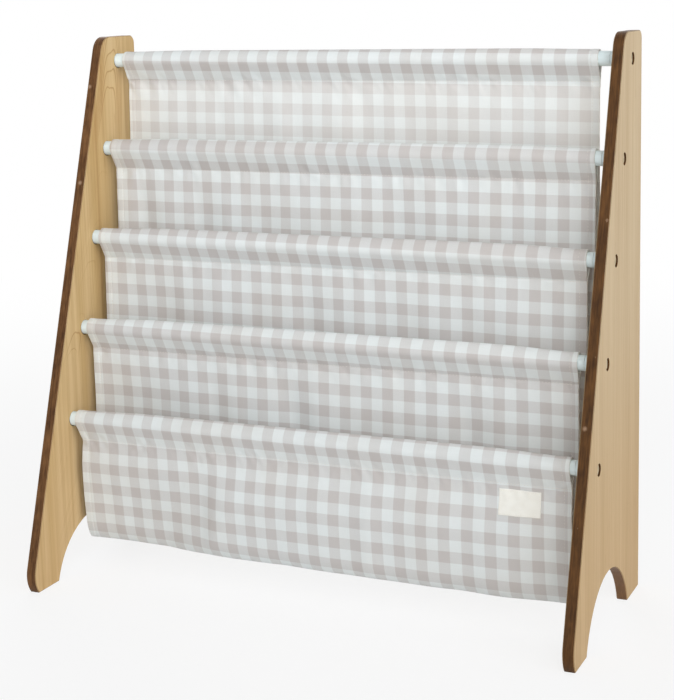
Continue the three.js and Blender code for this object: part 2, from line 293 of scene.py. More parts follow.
boards = {
    "left": {
        "light": (221, 194, 146), "mid": (203, 171, 118), "line": (172, 124, 66),
        "heart": (77 * mm, 597 * mm), "lean": 0.10, "curve": -0.66,
        "figure": 0.58, "streak": 0.34, "seed": 0.0, "foot": (255, 253, 255),
        "clear": [(-57 * mm, 60 * mm, 455 * mm, 530 * mm), (-345 * mm, -318 * mm, 235 * mm, 275 * mm)],
        "nicks": [(-311 * mm, 41 * mm, 554 * mm), (-308 * mm, 6.5 * mm, 446 * mm)],
        "edgeDark": (60, 36, 18), "edgeLight": (130, 91, 55),
    },
    "right": {
        "light": (214, 193, 158), "mid": (204, 180, 143), "line": (165, 131, 90),
        "heart": (196 * mm, 330 * mm), "lean": 0.06, "curve": 0.0,
        "figure": 0.34, "streak": 0.22, "seed": 3.7, "foot": (250, 238, 218),
        "clear": [], "nicks": [(306 * mm, -65 * mm, 228 * mm)],
        "edgeDark": (48, 28, 11), "edgeLight": (106, 71, 36),
    },
    "peak": 12 * mm, "drop": 15 * mm, "spacing": 20 * mm, "roughness": 0.50,
    # the feet's warmer tone fades between these heights, and the inner face ends between these values of |X|
    "warm": (0.02, 0.38), "inner": (0.304, 0.306),
    # painted light from the floor under the arch fades between these heights and these places in Y; a nick is
    # about 3 mm wide
    "edge": {
        "arch": (140, 106, 78), "archTop": (0.095, 0.125), "archFront": (-0.10, -0.08),
        "archBack": (0.10, 0.11), "nick": (166, 136, 110), "nickRim": (0.0017, 0.0046), "ragged": 0.0022,
    },
    # painted shadow round each collar: its radius, how far it sits below the rod, blur, share and colour
    "collarShadow": {
        "radius": 8.75 * mm, "lower": 0.45 * mm, "blur": 0.4 * mm, "share": 0.85, "colour": (74, 50, 30),
    },
}


def makeBoard(side):
    # printed wood on the faces, brown paint on the edges
    look = boards[side]
    edge = boards["edge"]
    collarShadow = boards["collarShadow"]
    spacing = boards["spacing"]
    seed = look["seed"]
    shader = Shader("maple_" + side)
    mix, stretched = shader.mix, shader.stretched
    plain = shader.place()
    x, y, z = shader.split(plain)
    # slow wander of the grain, long upwards and short across
    wander = stretched((1, 9, 1.6), (seed, 0, 0))
    ripple = stretched((1, 60, 9), (seed, 0, 0))
    # arches of growth rings round a curved heart line, blunt on top and straight at the sides: with
    # a = the distance from it / peak, ring number = (height + drop * a^4 / (1 + a^3 / 5) + wander) / spacing
    height = z - look["heart"][1]
    away = (y - height * look["lean"] - height * height * look["curve"] - look["heart"][0]).math("ABSOLUTE")
    away = away / boards["peak"]
    cube = away * away * away
    ring = height + cube * away * boards["drop"] / (cube * 0.2 + 1)
    ring = ring + (wander - 0.5) * 0.060 + (ripple - 0.5) * 0.014
    turn = (ring / spacing).math("FRACT")
    # the arch's slope turns the share of a ring into a length across the line, so that lines stay thin
    slope = cube * 6.5 / (cube + 1)
    across = (turn - 0.80) * spacing / (slope * slope + 1).math("SQRT")
    line = across.smooth(-2.2 * mm, -0.2 * mm) * (1 - across.smooth(0, 0.8 * mm))
    # rings differ in strength, and so do stretches of the same ring; some are clear, from a given height up
    number = (ring / spacing).math("FLOOR") + seed
    chance = shader.add("ShaderNodeTexWhiteNoise", {"noise_dimensions": "1D"}, {"W": number})
    tone = stretched((1, 9, 2.4), (seed, 0, 0), 1.0)
    strength = tone.smooth(0.42, 0.64) * (chance.smooth(0.25, 0.95) * 0.5 + 0.03)
    for lowest, highest, fadeLow, fadeHigh in look["clear"]:
        chosen = ring.math("GREATER_THAN", lowest) * (1 - ring.math("GREATER_THAN", highest))
        strength = strength.math("MAXIMUM", chosen * z.smooth(fadeLow, fadeHigh))
    line = line * strength
    # broad bands, streaks, fibres and short dark flecks, all long upwards
    band = stretched((1, 36, 0.9), (0, seed, 0), 2.5)
    streak = stretched((1, 210, 2.6), (seed, 0, 1), 3.0, 0.6)
    fibre = stretched((900, 900, 14), (0, 0, seed), 3.0, 0.6)
    fleck = stretched((300, 330, 34), (0, seed, 2)).smooth(0.66, 0.78)
    mid, dark = look["mid"], look["line"]
    face = mix(band.smooth(0.30, 0.70), look["light"], mid)
    face = mix(streak.smooth(0.42, 0.72) * look["streak"], face, mid, "MULTIPLY")
    face = mix(line * look["figure"], face, dark)
    face = mix((fibre - 0.5) * 0.35 + 0.10, face, mid, "MULTIPLY")
    face = mix(fleck * 0.38, face, dark)
    # a little warmer towards the feet
    face = mix(1 - z.smooth(*boards["warm"]), face, look["foot"], "MULTIPLY")
    # painted shadow round the collars, set a little low so that it shows most below them, on the inner face
    # alone
    inner = 1 - x.math("ABSOLUTE").smooth(*boards["inner"])
    for centreY, centreZ in rodCentres:
        up, aside = z - (centreZ - collarShadow["lower"]), y - centreY
        reach = (up * up + aside * aside).math("SQRT")
        hidden = reach.smooth(collarShadow["radius"] - collarShadow["blur"], collarShadow["radius"] + collarShadow["blur"])
        face = mix(inner * (1 - hidden) * collarShadow["share"], face, collarShadow["colour"])
    # the edge: brown with dark streaks along it, soft clouds and a few pale nicks
    grain = stretched((620, 150, 24), detail=3.0, roughness=0.65)
    cloud = stretched((70, 60, 34), detail=3.0, roughness=0.6)
    share = (grain * 1.5 + cloud * 1.1 - 0.85).held()
    rim = mix(share, look["edgeDark"], look["edgeLight"])
    # painted light from the floor: a lighter brown under the arch between the feet
    under = (1 - z.smooth(*edge["archTop"])) * y.smooth(*edge["archFront"])
    under = under * (1 - y.smooth(*edge["archBack"]))
    rim = mix(under * (grain * 0.5 + 0.35), rim, edge["arch"])
    nick = stretched((210, 120, 110), (0.3, seed, 0.7), 1.0).smooth(0.77, 0.81) * 0.45
    for spot in look["nicks"]:
        # a spot round a point, its rim broken by the grain
        far = shader.add("ShaderNodeVectorMath", {"operation": "DISTANCE"}, {0: plain, 1: spot}, out="Value")
        nick = nick.math("MAXIMUM", (1 - (far + grain * edge["ragged"]).smooth(*edge["nickRim"])) * 0.8)
    rim = mix(nick, rim, edge["nick"])
    # a face looks along X; everything else is edge, and the small bevel between them lies halfway
    normal = shader.add("ShaderNodeNewGeometry", out="True Normal")
    base = mix(shader.split(normal)[0].math("ABSOLUTE").smooth(0.55, 0.88), rim, face)
    rough = boards["roughness"] + (fibre - 0.5) * 0.12 - line * 0.05
    return shader.finish(base, rough, fibre * 0.6 + line * 0.4, 0.10, 0.4 * mm, {"Specular IOR Level": 0.15})


for side in ("left", "right"):
    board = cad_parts["side_panel_" + side]
    board.data.materials.clear()
    board.data.materials.append(makeBoard(side))
print("boards dressed")


# Rods and their end collars

rods = {
    "radius": 8 * mm, "wall": 1.2 * mm, "edge": 0.35 * mm, "gap": 0.3 * mm, "bore": 3.3 * mm,
    "tubePaint": (224, 238, 241), "collarPaint": (226, 241, 247),
}


def makePaint(name, tint, roughness):
    # a white coat with faint clouds and a fine grain
    shader = Shader(name)
    grain = shader.noise(shader.place(), 900.0)
    cloud = shader.noise(shader.place(), 35.0)
    dull = [int(c * 0.955) for c in tint]
    base = shader.mix(cloud.smooth(0.35, 0.70) * 0.8, tint, dull)
    return shader.finish(base, roughness + cloud * 0.10, grain, 0.05, 0.3 * mm)


tubePaint = makePaint("tube_paint", rods["tubePaint"], 0.30)
collarPaint = makePaint("collar_plastic", rods["collarPaint"], 0.38)


for k, centre in enumerate(rodCentres, 1):
    end, radius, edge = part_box("rod_tube_%d" % k)[1].x, rods["radius"], rods["edge"]
    inner = radius - rods["wall"]
    # the tube's wall is one closed ring with softened corners, begun in the middle of the bore
    wall = [(0, inner), (-end, inner), (-end, radius), (0, radius), (end, radius), (end, inner), (0, inner)]
    tube = addRing("rod_%d" % k, softened(wall, edge), centre, tubePaint)
    finishPiece(tube, "rod", "rod_tube_%d" % k)
    for name, side in (("left", -1), ("right", 1)):
        node = "rod_cap_%s_%d" % (name, k)
        spigotEnd, outer = [corner.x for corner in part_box(node)][::side]
        collarEnd = side * (end + rods["gap"])
        middle = (outer + spigotEnd) / 2
        inside = inner - rods["gap"]
        profile = [
            (middle, rods["bore"]), (outer, rods["bore"]), (outer, radius), (collarEnd, radius),
            (collarEnd, inside), (spigotEnd, inside), (spigotEnd, rods["bore"]), (middle, rods["bore"]),
        ]
        collar = addRing("rod_collar_%s_%d" % (name, k), softened(profile, edge), centre, collarPaint)
        finishPiece(collar, "cap", node)
print("rods and collars made")


# Bolts in the counterbores

bolts = {
    "head": 6.45 * mm, "headHeight": 3.9 * mm, "proud": 0.2 * mm, "edge": 0.7 * mm, "underEdge": 0.2 * mm,
    "shank": 3 * mm, "tip": 1.86 * mm, "tipLength": 0.8 * mm,
    "hex": 2.4 * mm, "hexDepth": 2.4 * mm, "hexEdge": (0.3 * mm, 0.35 * mm), "hexFloor": (0.4 * mm, 0.8 * mm),
    "brightSteel": (214, 196, 164), "dullSteel": (186, 168, 136), "sharpFrom": math.radians(38),
}


def makeSteel():
    # steel with a fine grain along the axis and soft clouds
    shader = Shader("bolt_steel")
    brushed = shader.stretched((60, 900, 900), detail=3.0)
    cloud = shader.noise(shader.place(), 160.0).smooth(0.35, 0.65)
    base = shader.mix(cloud, bolts["brightSteel"], bolts["dullSteel"])
    return shader.finish(base, 0.42 + brushed * 0.20, brushed, 0.12, 0.2 * mm, {"Metallic": 0.2})


boltSteel = makeSteel()
for k, centre in enumerate(rodCentres, 1):
    head, shank, edge, hexagon = (bolts[part] for part in ("head", "shank", "edge", "hex"))
    for name, side in (("left", -1), ("right", 1)):
        node = "panel_bolt_%s_%d" % (name, k)
        tip, top = [corner.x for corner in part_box(node)][::side]
        top += side * bolts["proud"]
        under = top - side * bolts["headHeight"]
        floor = top - side * bolts["hexDepth"]
        rim = np.linspace(0, math.pi / 2, 6)[::-1]
        profile = [
            (tip, bolts["tip"]), (tip + side * bolts["tipLength"], shank), (under, shank),
            (under, head - bolts["underEdge"]), (under + side * bolts["underEdge"], head),
            *[(top - side * edge * (1 - math.cos(t)), head - edge * (1 - math.sin(t))) for t in rim],
            (top, hexagon + bolts["hexEdge"][1]), (top - side * bolts["hexEdge"][0], hexagon),
            (floor, hexagon), (floor - side * bolts["hexFloor"][0], bolts["hexFloor"][1]),
        ]
        hexRows = (len(profile) - 3, len(profile) - 2)
        points, quads, fans = turnedSurface(profile, centre, hexRows)
        bolt = addPiece("bolt_%s_%d" % (name, k), points, quads, boltSteel, triangles=fans)
        bolt.data.set_sharp_from_angle(angle=bolts["sharpFrom"])
        finishPiece(bolt, "bolt", node)
print("bolts made")


# The cloth: four panels, each a sleeve round its rod and a pocket below it

cloth = {
    # two layers turned out like a bag and sewn round: fuller from the side edge to the line of stitches
    "thick": 1.1 * mm, "fuller": 0.4 * mm, "rim": 0.9 * mm, "stitchInset": 8 * mm, "dip": 0.16 * mm,
    "layer": 1.16 * mm, "flap": 6 * mm, "tuck": 4 * mm, "sleeveRadius": 8.8 * mm,
    "seamDrop": 23.8 * mm, "seamBack": 5 * mm, "lowestSeamBack": 2 * mm, "pocketDrop": 149 * mm,
    # the computed line's step, the points over which a crease and the lowest seam's bend are eased, half the
    # way round a rod, and the length over which the back wall's folds give way to the front wall's
    "step": 0.1 * mm, "crease": 31, "bend": 121, "bendReach": 12 * mm, "loop": 40 * mm, "turnOver": 50 * mm,
    # each sleeve keeps a pressed fold on top: its height above the round, its half width, and how far in from
    # the side edges it is full
    "crest": [1.7 * mm, 2.6 * mm, 3.7 * mm, 4.0 * mm, 3.6 * mm],
    "crestTurn": math.radians(34), "crestFade": 90 * mm,
    # how far each pocket's bottom rises at its left and its right side, and how far up the walls that reaches
    "lowestReach": 55 * mm, "lowestPoint": [(0, 0), (0, 0), (0, 0), (3.2 * mm, -2.4 * mm)],
    # the side edges' places in mm, rod by rod: round the rod, at the seam, and on the wall this far below it
    "wallPlace": 70 * mm,
    "edges": [
        [(-291.0, 279.5), (-291.0, 278.5), (-291.5, 278.5)],
        [(-293.2, 285.0), (-292.6, 283.2), (-292.6, 283.0)],
        [(-293.4, 285.2), (-293.4, 283.0), (-293.6, 283.0)],
        [(-294.4, 284.8), (-294.2, 283.2), (-294.4, 283.2)],
        [(-294.8, 286.2), (-292.0, 286.2), (-294.6, 286.6)],
    ],
    # the checks' size, and where the lowest cloth's pattern turns from the back rod's into the front rod's:
    # from this far below the back seam, over the way to the bottom less the second length
    "check": 25 * mm, "turn": (80 * mm, 100 * mm),
    # the dark columns' and rows' places and the rows' slope, rod by rod
    "columns": [15.8 * mm, 0.9 * mm, 3.1 * mm, -1.8 * mm, -0.2 * mm],
    "rows": [6.9 * mm, 19.6 * mm, 13.8 * mm, 0.2 * mm, 7.0 * mm],
    "slopes": [0.0134, 0.0071, 0.0118, 0.0068, 0.0020],
    # the share by which each rod's checks are narrower than the even ones
    "narrower": [0.010, 0.0075, 0.003, 0, -0.002],
    # the stitches take up cloth at each seam, so the sleeve's checks lie this much higher than the wall's, a
    # change that is spread over takenOver
    "taken": [0.4 * mm, 1.6 * mm, 1.8 * mm, 1.4 * mm, 0.9 * mm], "takenOver": 16 * mm,
    # the rows on the lowest front wall are this share taller
    "stretch": 0.012,
    # folds draw the lowest wall's checks aside: place along X, half width, shift to the right and upwards,
    # which grows from the seam down over drawnOver
    "drawn": [(-150 * mm, 45 * mm, 3.0 * mm, 1.8 * mm), (205 * mm, 50 * mm, 1.6 * mm, 1.2 * mm)],
    "drawnOver": 30 * mm,
    "light": (225, 230, 230), "dark": (197, 193, 191), "warm": (247, 240, 234), "slub": (214, 208, 202),
    # light comes through the highest wall, which hangs free: tone and share, and where it fades in Z and Y
    "through": {
        "colour": (246, 246, 242), "share": 0.26,
        "low": (0.43, 0.50), "high": (0.551, 0.558), "front": (0.072, 0.080),
    },
}

# soft folds of each rod's wall, in mm: place along X, half width and depth to the back; then, where not 28,
# 80 and 0, the drops below the rod where it starts and is full, and its lean, along X for each step down
folds = [
    [(-205, 30, -1.4, 28, 78, 0), (-90, 15, -1.8), (-30, 26, -2.2), (75, 40, 2.4), (235, 26, -1.6)],
    [(-255, 15, 2.8), (-180, 19, 2.2), (-105, 20, 1.5, 28, 75, 0), (70, 26, 3.2), (150, 21, -1.6),
     (225, 19, -2.2)],
    [(-240, 30, 3.8, 28, 85, 0), (-205, 16, 2.0, 28, 75, 0), (-30, 28, 3.8), (70, 30, 2.4), (155, 18, 2.0),
     (212, 25, -3.0, 28, 85, 0)],
    [(-235, 60, 5.6, 28, 90, 0), (-137, 17, 3.2), (-40, 20, 4.4), (165, 22, 4.2, 28, 85, 0),
     (250, 30, 3.5, 28, 85, 0)],
    [(-240, 60, 4.6, 40, 105, 0), (-152, 13, 1.6, 32, 70, -0.38), (-100, 16, -1.2, 45, 90, -0.35),
     (288, 36, 3.0, 85, 140, 0)],
]
# the lowest front wall swells out between two slanting shoulders, and a little all over
swell = {
    "left": -137 * mm, "leftDrop": 102 * mm, "lean": -0.5, "right": 240 * mm, "shoulder": 62 * mm,
    "out": 8.2 * mm, "start": 28, "full": 86, "even": 3 * mm, "evenFull": 58,
}
# ripples on the walls and puckers at the seams: wave lengths and the ripples' drops, start and full, in mm
wrinkles = {
    "ripple": 0.42 * mm, "rippleWaves": (23, 31, 44, 58, 77), "rippleDrops": (27, 59), "rippleSeed": 70,
    "pucker": 0.46 * mm, "puckerWaves": (9, 34), "puckers": 7, "puckerDown": 15 * mm, "puckerUp": 11 * mm,
    "puckerSeed": 40, "seamFlat": 0.70, "seamReach": 2.5 * mm,
}


def foldDepth(k, x, drop):
    # sum of bell curves across X, each growing smoothly with the drop below rod k, less the swelling
    total = 0
    for place, width, depth, *grows in folds[k]:
        start, full, lean = grows or (28, 80, 0)
        centre = place * mm + lean * (drop - start * mm)
        grown = smoothStep((drop / mm - start) / (full - start))
        total = total + depth * mm * bump(x - centre, width * mm) * grown
    if k == 4:
        left = swell["left"] + swell["lean"] * (drop - swell["leftDrop"])
        risen = smoothStep((x - left) / swell["shoulder"] + 0.5)
        risen = risen * smoothStep((swell["right"] - x) / swell["shoulder"] + 0.5)
        below = drop / mm - swell["start"]
        total = total - swell["out"] * risen * smoothStep(below / (swell["full"] - swell["start"]))
        total = total - swell["even"] * smoothStep(below / (swell["evenFull"] - swell["start"]))
    return total


def ripples(k, x, drop):
    # faint uneven waves over a wall: sines along X, each strong only in patches, growing below the seam
    random = np.random.default_rng(wrinkles["rippleSeed"] + k)
    waves, (start, full) = wrinkles["rippleWaves"], wrinkles["rippleDrops"]
    total = 0
    for wave in waves:
        lean = random.uniform(-0.16, 0.16)
        phase, patchPhase = random.uniform(0, 6.28), random.uniform(0, 6.28)
        patch = smoothStep(0.45 + 0.8 * np.sin(2 * math.pi * x / (wave * 3.7 * mm) + patchPhase))
        ripple = np.sin(2 * math.pi * (x + lean * drop) / (wave * mm) + phase)
        total = total + wave / max(waves) * patch * ripple
    return wrinkles["ripple"] * total * smoothStep((drop / mm - start) / (full - start))


def puckers(k, x, below):
    # short slanting wrinkles that start at the seam: sines along X that die out away from it, held flat on it
    random = np.random.default_rng(wrinkles["puckerSeed"] + k)
    total = 0
    reach = np.where(below > 0, wrinkles["puckerDown"], wrinkles["puckerUp"])
    for wave in random.uniform(*wrinkles["puckerWaves"], wrinkles["puckers"]):
        lean, phase, height = random.uniform(-0.9, 0.9), random.uniform(0, 6.28), random.uniform(0.4, 1.0)
        patch = smoothStep(0.5 + 0.9 * np.sin(2 * math.pi * x / (wave * 5.3 * mm) + 2 * phase))
        pleat = np.sin(2 * math.pi * (x + lean * below) / (wave * mm) + phase)
        total = total + height * patch * pleat * bump(below, reach)
    flat = wrinkles["seamFlat"] * bump(below, wrinkles["seamReach"])
    return wrinkles["pucker"] * total * (1 - flat)


def seamOf(k):
    # where rod k's seam runs, and how far its outer layers lie from its middle
    back = cloth["seamBack"] if k < 4 else cloth["lowestSeamBack"]
    apart = cloth["layer"] * (1.0 if 0 < k < 4 else 0.5)
    return rodCentres[k][0] + back, rodCentres[k][1] - cloth["seamDrop"], apart


def overRod(k, radius, count=60):
    # from the rear foot up, round the rod and down to the front foot: two tangents and the arc between them
    seamY, seamZ, apart = seamOf(k)
    centre = np.array(rodCentres[k])
    feet = [np.array([seamY + apart, seamZ]), np.array([seamY - apart, seamZ])]
    angles = []
    for foot, sign in zip(feet, (1, -1)):
        offset = foot - centre
        angles.append(math.atan2(offset[1], offset[0]) + sign * math.acos(radius / np.hypot(*offset)))
    turn = np.linspace(angles[0], angles[1] + 2 * math.pi, count)
    arc = centre + radius * np.stack([np.cos(turn), np.sin(turn)], -1)
    return np.concatenate([[feet[0]], arc, [feet[1]]])


def pocketLine(j, count=2400):
    # a hanging cloth: height above the lowest point = a (cosh(w / a) - 1), with a found so that the two walls
    # reach from the back seam to the front one
    backY, backZ, backApart = seamOf(j)
    frontY, frontZ, frontApart = seamOf(j + 1)
    backY = backY - backApart
    frontY = frontY - (frontApart if j == 3 else 0)
    lowest = rodCentres[j + 1][1] - cloth["pocketDrop"] + cloth["thick"] / 2
    backRise, frontRise = backZ - lowest, frontZ - lowest
    a = np.linspace(1 * mm, 12 * mm, 4000)
    widths = a * (np.arccosh(1 + backRise / a) + np.arccosh(1 + frontRise / a))
    a = float(np.interp(backY - frontY, widths, a))
    w = np.linspace(a * np.arccosh(1 + backRise / a), -a * np.arccosh(1 + frontRise / a), count)
    return np.stack([backY - w[0] + w, lowest + a * (np.cosh(w / a) - 1)], -1)


def eased(line, count):
    # moving average of a line of points over a bell of count points
    window = np.hanning(count) / np.hanning(count).sum()
    padded = np.pad(line, ((count // 2, count // 2), (0, 0)), mode="reflect", reflect_type="odd")
    return np.stack([np.convolve(padded[:, i], window, mode="valid") for i in (0, 1)], -1)


class Panel:
    # panel j as a surface: a line in (Y, Z) carried along X, with folds and puckers added to it
    def __init__(self, j):
        self.j = j
        sleeve = overRod(j, cloth["sleeveRadius"])
        flap = sleeve[0] - [0, cloth["flap"]]
        pocket = pocketLine(j)
        if j < 3:
            last = pocket[-1:] + [0, cloth["tuck"]]
        else:
            last = overRod(4, cloth["sleeveRadius"])[::-1]
            last = np.concatenate([last, last[-1:] - [0, cloth["flap"]]])
        corners = np.concatenate([[flap], sleeve, pocket[1:], last[j == 3:]])
        steps = lengthsAlong(corners)
        fine = np.arange(0, steps[-1], cloth["step"])
        hard = np.stack(pointAt(fine, steps, corners), -1)
        line = eased(hard, cloth["crease"])
        if j == 3:
            # the lowest seam bends gently, the others keep a hard crease
            rising = np.arange(len(fine)) > np.argmin(hard[:, 1])
            seamAt = np.argmin(np.where(rising, np.hypot(*(hard - pocket[-1]).T), math.inf))
            nearSeam = bump(fine - fine[seamAt], cloth["bendReach"])[:, None]
            line = line + (eased(hard, cloth["bend"]) - line) * nearSeam
        self.s = lengthsAlong(line)
        self.line = line
        ahead = unit(np.gradient(line, self.s, axis=0))
        self.out = np.stack([ahead[:, 1], -ahead[:, 0]], -1)
        self.length = float(self.s[-1])
        self.rearSeam = cloth["flap"]
        self.seam = self.nearest(sleeve[-1], cloth["loop"] / 2)
        self.frontSeam = self.nearest(pocket[-1], self.seam + cloth["loop"])
        self.lastSeam = self.length - cloth["flap"]
        self.nose = float(self.s[np.argmin(line[:, 1])])
        self.seams = [self.rearSeam, self.seam, self.frontSeam] + ([self.lastSeam] if j == 3 else [])

    def nearest(self, point, beyond):
        # how far along the line it comes closest to a point, looking only beyond a given length
        away = np.hypot(*(self.line - point).T)
        return float(self.s[np.argmin(np.where(self.s > beyond, away, math.inf))])

    def at(self, s, x, lift=0.0):
        # point = line(s) + out(s) * lift, then folds and puckers along Y and the bottom's slope along Z
        j, loop = self.j, cloth["loop"]
        y, z = pointAt(s, self.s, self.line)
        outY, outZ = pointAt(s, self.s, self.out)
        share = smoothStep((s - self.nose) / cloth["turnOver"] + 0.5)
        hanging = smoothStep((s - self.seam) / (2 * mm)) * smoothStep((self.frontSeam - s) / (2 * mm))
        backDrop, frontDrop = rodCentres[j][1] - z, rodCentres[j + 1][1] - z
        back = foldDepth(j, x, backDrop) + ripples(j, x, backDrop)
        front = foldDepth(j + 1, x, frontDrop) + ripples(j + 1, x, frontDrop)
        depth = ((1 - share) * back + share * front) * hanging
        wrinkle = puckers(j, x, self.rearSeam - s) * (s < self.seam - loop)
        wrinkle = wrinkle + puckers(j, x, s - self.seam) * (s >= self.seam - loop)
        wrinkle = wrinkle + puckers(j + 1, x, self.frontSeam - s) * (s < self.frontSeam + loop)
        crest = self.crest(j, s, x, y, z)
        if j == 3:
            wrinkle = wrinkle + puckers(j + 1, x, s - self.lastSeam) * (s >= self.frontSeam + loop)
            crest = crest + self.crest(j + 1, s, x, y, z)
        left, right = cloth["lowestPoint"][j]
        along = x / (cloth["edges"][j][0][1] * mm)
        rise = ((right + left) / 2 + (right - left) / 2 * along) * bump(s - self.nose, cloth["lowestReach"])
        y = y + outY * lift + depth - wrinkle
        z = z + outZ * lift + rise + crest
        return np.stack([x + 0 * y, y, z], -1)

    def crest(self, k, s, x, y, z):
        # height * bell of the angle from straight up round rod k * share that grows from the sides inwards
        upY, upZ = y - rodCentres[k][0], z - rodCentres[k][1]
        near = 1 - smoothStep((np.hypot(upY, upZ) - 10 * mm) / (2 * mm))
        left, right = self.edges(s)
        inset = np.minimum(x - left, right - x)
        grown = 0.3 + 0.7 * smoothStep(inset / cloth["crestFade"])
        return cloth["crest"][k] * bump(np.arctan2(upY, upZ), cloth["crestTurn"]) * near * grown

    def edges(self, s):
        # the two side edges: straight stretches between the places given at the rods, seams and walls
        first, second = (np.array(cloth["edges"][k]) * mm for k in (self.j, self.j + 1))
        reach, wall = cloth["loop"] / 2, cloth["wallPlace"]
        places = [self.rearSeam, self.rearSeam + reach, self.seam - reach, self.seam, self.seam + wall]
        pairs = [first[1], first[0], first[0], first[1], first[2]]
        places += [self.frontSeam - wall, self.frontSeam]
        pairs += [second[2], second[1]]
        if self.j == 3:
            places += [self.frontSeam + reach, self.lastSeam - reach, self.lastSeam]
            pairs += [second[0], second[0], second[1]]
        return pointAt(s, places, np.array(pairs))

    def checkMap(self, s, x):
        # u and v in metres with the dark columns and rows centred on whole checks
        j = self.j
        v = s - self.seam + cloth["seamDrop"] - cloth["rows"][j] - cloth["slopes"][j] * x
        v = v + cloth["taken"][j] * smoothStep((self.seam - s) / cloth["takenOver"] + 0.5)
        u = (1 + cloth["narrower"][j]) * x - cloth["columns"][j]
        if j == 3:
            start, short = cloth["turn"]
            turned = smoothStep((s - self.seam - start) / (self.nose - self.seam - short))
            wanted = cloth["rows"][4] + cloth["rows"][3] + (cloth["slopes"][4] + cloth["slopes"][3]) * x
            length = self.frontSeam - self.seam + 2 * cloth["seamDrop"]
            extra = wanted - length
            extra = extra - cloth["check"] * np.round(np.mean(wanted - length) / cloth["check"])
            below = np.clip(self.frontSeam - s, 0, self.frontSeam - self.nose)
            v = v + turned * (extra + cloth["stretch"] * below)
            v = v - cloth["taken"][4] * smoothStep((s - self.frontSeam) / cloth["takenOver"] + 0.5)
            u = u + turned * ((1 + cloth["narrower"][4]) * x - cloth["columns"][4] - u)
            for place, width, aside, up in cloth["drawn"]:
                pull = turned * bump(x - place, width) * smoothStep(below / cloth["drawnOver"])
                u, v = u - aside * pull, v - up * pull
        return np.stack([u, v], -1)

    def rows(self):
        # row places: close together round the rod, at the seams and at the bottom, wider on the walls
        widest, ease, loop = 3.4 * mm, 12 * mm, cloth["loop"]
        wide = np.full(len(self.s), widest)
        spots = [
            (self.seam, 5 * mm, 1.1 * mm), (self.nose, 14 * mm, 1.3 * mm),
            (self.frontSeam, 5 * mm, 1.1 * mm), (self.seam - loop, 20 * mm, 1.8 * mm),
        ]
        if self.j == 3:
            spots.append((self.frontSeam + loop, 20 * mm, 1.8 * mm))
        for centre, reach, step in spots:
            away = np.abs(self.s - centre) - reach
            wide = np.minimum(wide, step + (widest - step) * smoothStep(away / ease))
        count = np.concatenate([[0], np.cumsum(np.diff(self.s) / wide[1:])])
        rows = np.interp(np.linspace(0, count[-1], int(count[-1]) + 2), count, self.s)
        tip = np.array([0.06, 0.2, 0.45]) * mm
        return np.concatenate([rows[:1], tip, rows[1:-1], self.length - tip[::-1], rows[-1:]])

    def half(self, s, inset):
        # half the thickness = (plain + fuller part near the side) * round rim * blunt tip, less a bell at
        # each line of stitches
        fuller = cloth["fuller"] * (1 - smoothStep((inset - cloth["stitchInset"] + 1 * mm) / (1.4 * mm)))
        rim = np.clip(inset / cloth["rim"], 0, 1)
        tip = np.clip(np.minimum(s, self.length - s) / (0.5 * mm), 0, 1)
        sewn = bump(inset - cloth["stitchInset"], 0.9 * mm)
        for seam in self.seams:
            sewn = np.maximum(sewn, bump(s - seam, 1.0 * mm))
        full = (cloth["thick"] + fuller) / 2
        blunt = 0.35 + 0.65 * np.sqrt(1 - (1 - tip) ** 2)
        return full * np.sqrt(1 - (1 - rim) ** 2) * blunt - cloth["dip"] * sewn


def panelColumns(main=184):
    # one row's closed profile: left rim, front face, right rim, and the back face the other way.
    # each column is left * a + right * b + offset, with its inset from the side, at most 13 mm, and its face
    near = np.array([0.1, 0.3, 0.55, 0.9, 1.6, 2.8, 4.2, 5.6, 6.6, 7.2, 7.6, 8, 8.4, 8.8, 9.6, 11]) * mm
    share = np.linspace(0, 1, main)
    start = 13 * mm
    left = [(1, 0, d, d, 1) for d in near]
    middle = [(1 - t, t, start * (1 - 2 * t), start, 1) for t in share]
    right = [(0, 1, -d, d, 1) for d in near[::-1]]
    front = left + middle + right
    back = [(a, b, offset, inset, -1) for a, b, offset, inset, _ in front[::-1]]
    return np.array([(1, 0, 0, 0, 0)] + front + [(0, 1, 0, 0, 0)] + back)


def tipFaces(rows, columns):
    # the first and last rows' narrow ends: front column i joined to the back column behind it
    i = np.arange(1, columns // 2 - 1)
    first = np.stack([i + 1, i, columns - i, columns - i - 1], -1)
    side = columns // 2
    ends = np.array([[1, 0, columns - 1], [side, side - 1, side + 1]])
    last = (rows - 1) * columns
    return np.concatenate([first, first[:, ::-1] + last]), np.concatenate([ends, ends[:, ::-1] + last])


